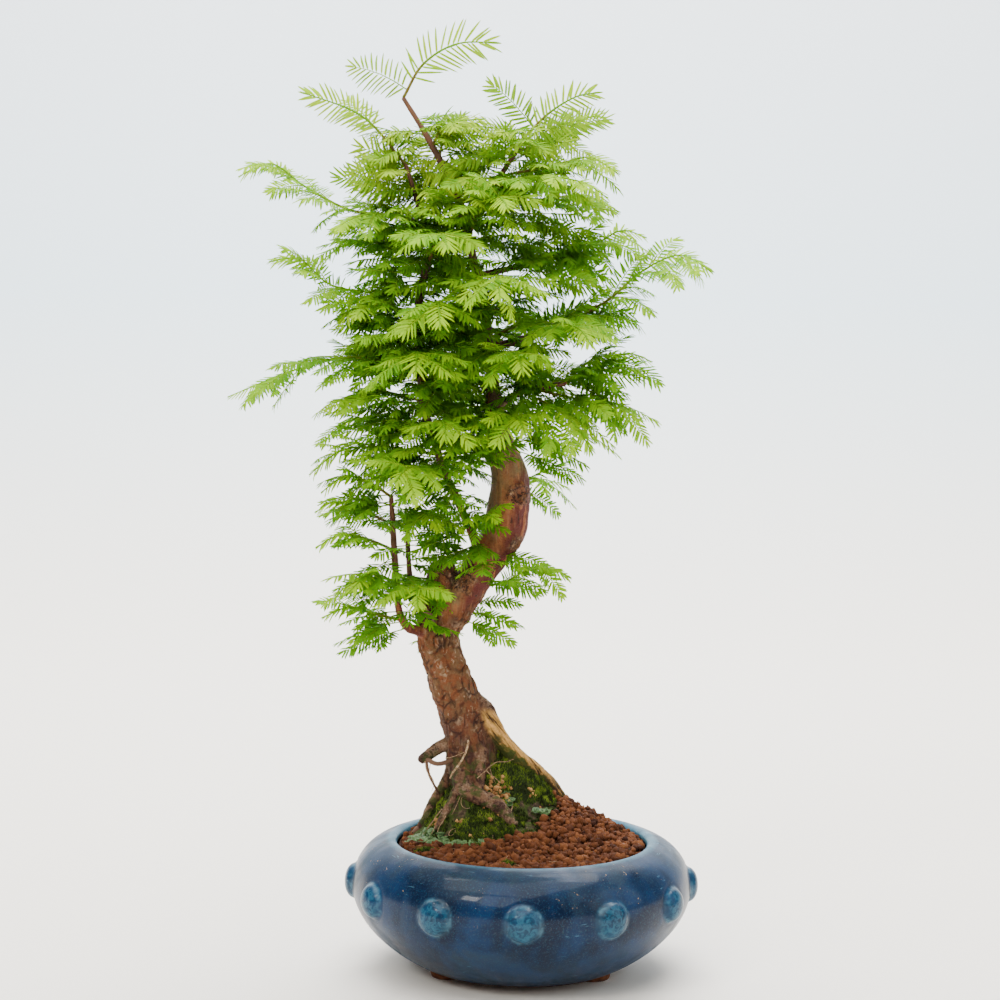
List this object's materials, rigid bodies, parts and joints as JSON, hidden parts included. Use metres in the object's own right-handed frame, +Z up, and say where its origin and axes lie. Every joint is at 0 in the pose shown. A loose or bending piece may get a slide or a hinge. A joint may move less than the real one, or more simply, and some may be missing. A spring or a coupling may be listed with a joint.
{
  "type": "bonsai",
  "caption": "Informal upright dawn redwood bonsai with exposed roots, growing from granular soil in a round drum pot with domed studs and short feet.",
  "frame": {"origin": "middle of the object's footprint at the height of the pot's feet; the pot's axis lies 35 mm towards +X of it", "axes": "+Z up along the tree's height, -Y towards the viewer's front, +X to the viewer's right"},
  "size_m": [0.2924, 0.2186, 0.5792],
  "materials": {
    "blue_glaze": "deep blue glaze over brown stoneware, with turquoise breaks on the studs and the lip",
    "black_plastic": "plain black",
    "bare_wire": "bare drawn wire",
    "akadama_soil": "red-brown fired clay grains",
    "root_ball": "dark old soil bound by roots",
    "bark": "flaking grey-brown bark below, smooth red-brown bark above, bleached dead wood on one root",
    "moss": "short green moss",
    "liverwort": "smooth blue-green lobes",
    "needles": "soft flat needles, yellow-green at the tips and deeper green inside"
  },
  "bodies": {
    "root": {"drain_mesh": "black_plastic", "liverwort": "liverwort", "mesh_clip": "bare_wire", "moss_bank": "moss", "moss_cushion": "moss", "moss_edge": "moss", "moss_tuft": "moss", "pot": "blue_glaze", "root_mound": "root_ball", "soil": "akadama_soil", "spray_apex": "needles", "spray_back_a": "needles", "spray_back_b": "needles", "spray_back_c": "needles", "spray_back_d": "needles", "spray_back_e": "needles", "spray_back_f": "needles", "spray_crown_front_right": "needles", "spray_crown_right_a": "needles", "spray_crown_right_b": "needles", "spray_crown_right_c": "needles", "spray_fan_front_a": "needles", "spray_fan_front_b": "needles", "spray_fan_front_c": "needles", "spray_fan_front_d": "needles", "spray_fan_front_e": "needles", "spray_fan_front_f": "needles", "spray_fan_front_g": "needles", "spray_fan_front_h": "needles", "spray_fan_front_i": "needles", "spray_fan_low_a": "needles", "spray_fan_low_b": "needles", "spray_fan_low_c": "needles", "spray_fan_right_a": "needles", "spray_fan_right_b": "needles", "spray_far_left": "needles", "spray_fork_left": "needles", "spray_left_tier_a": "needles", "spray_left_tier_b": "needles", "spray_left_tier_c": "needles", "spray_left_tier_d": "needles", "spray_left_tier_e": "needles", "spray_left_tier_f": "needles", "spray_left_tier_g": "needles", "spray_long_left": "needles", "spray_long_right": "needles", "spray_low_left_end": "needles", "spray_low_left_fan": "needles", "spray_low_left_high": "needles", "spray_low_left_mid": "needles", "spray_low_left_top": "needles", "spray_low_right": "needles", "spray_tier_right_high": "needles", "spray_tier_right_low": "needles", "spray_top_back": "needles", "spray_top_front": "needles", "spray_top_left": "needles", "spray_top_right_tip": "needles", "spray_upper_right": "needles", "wood": "bark"}
  },
  "joints": []
}
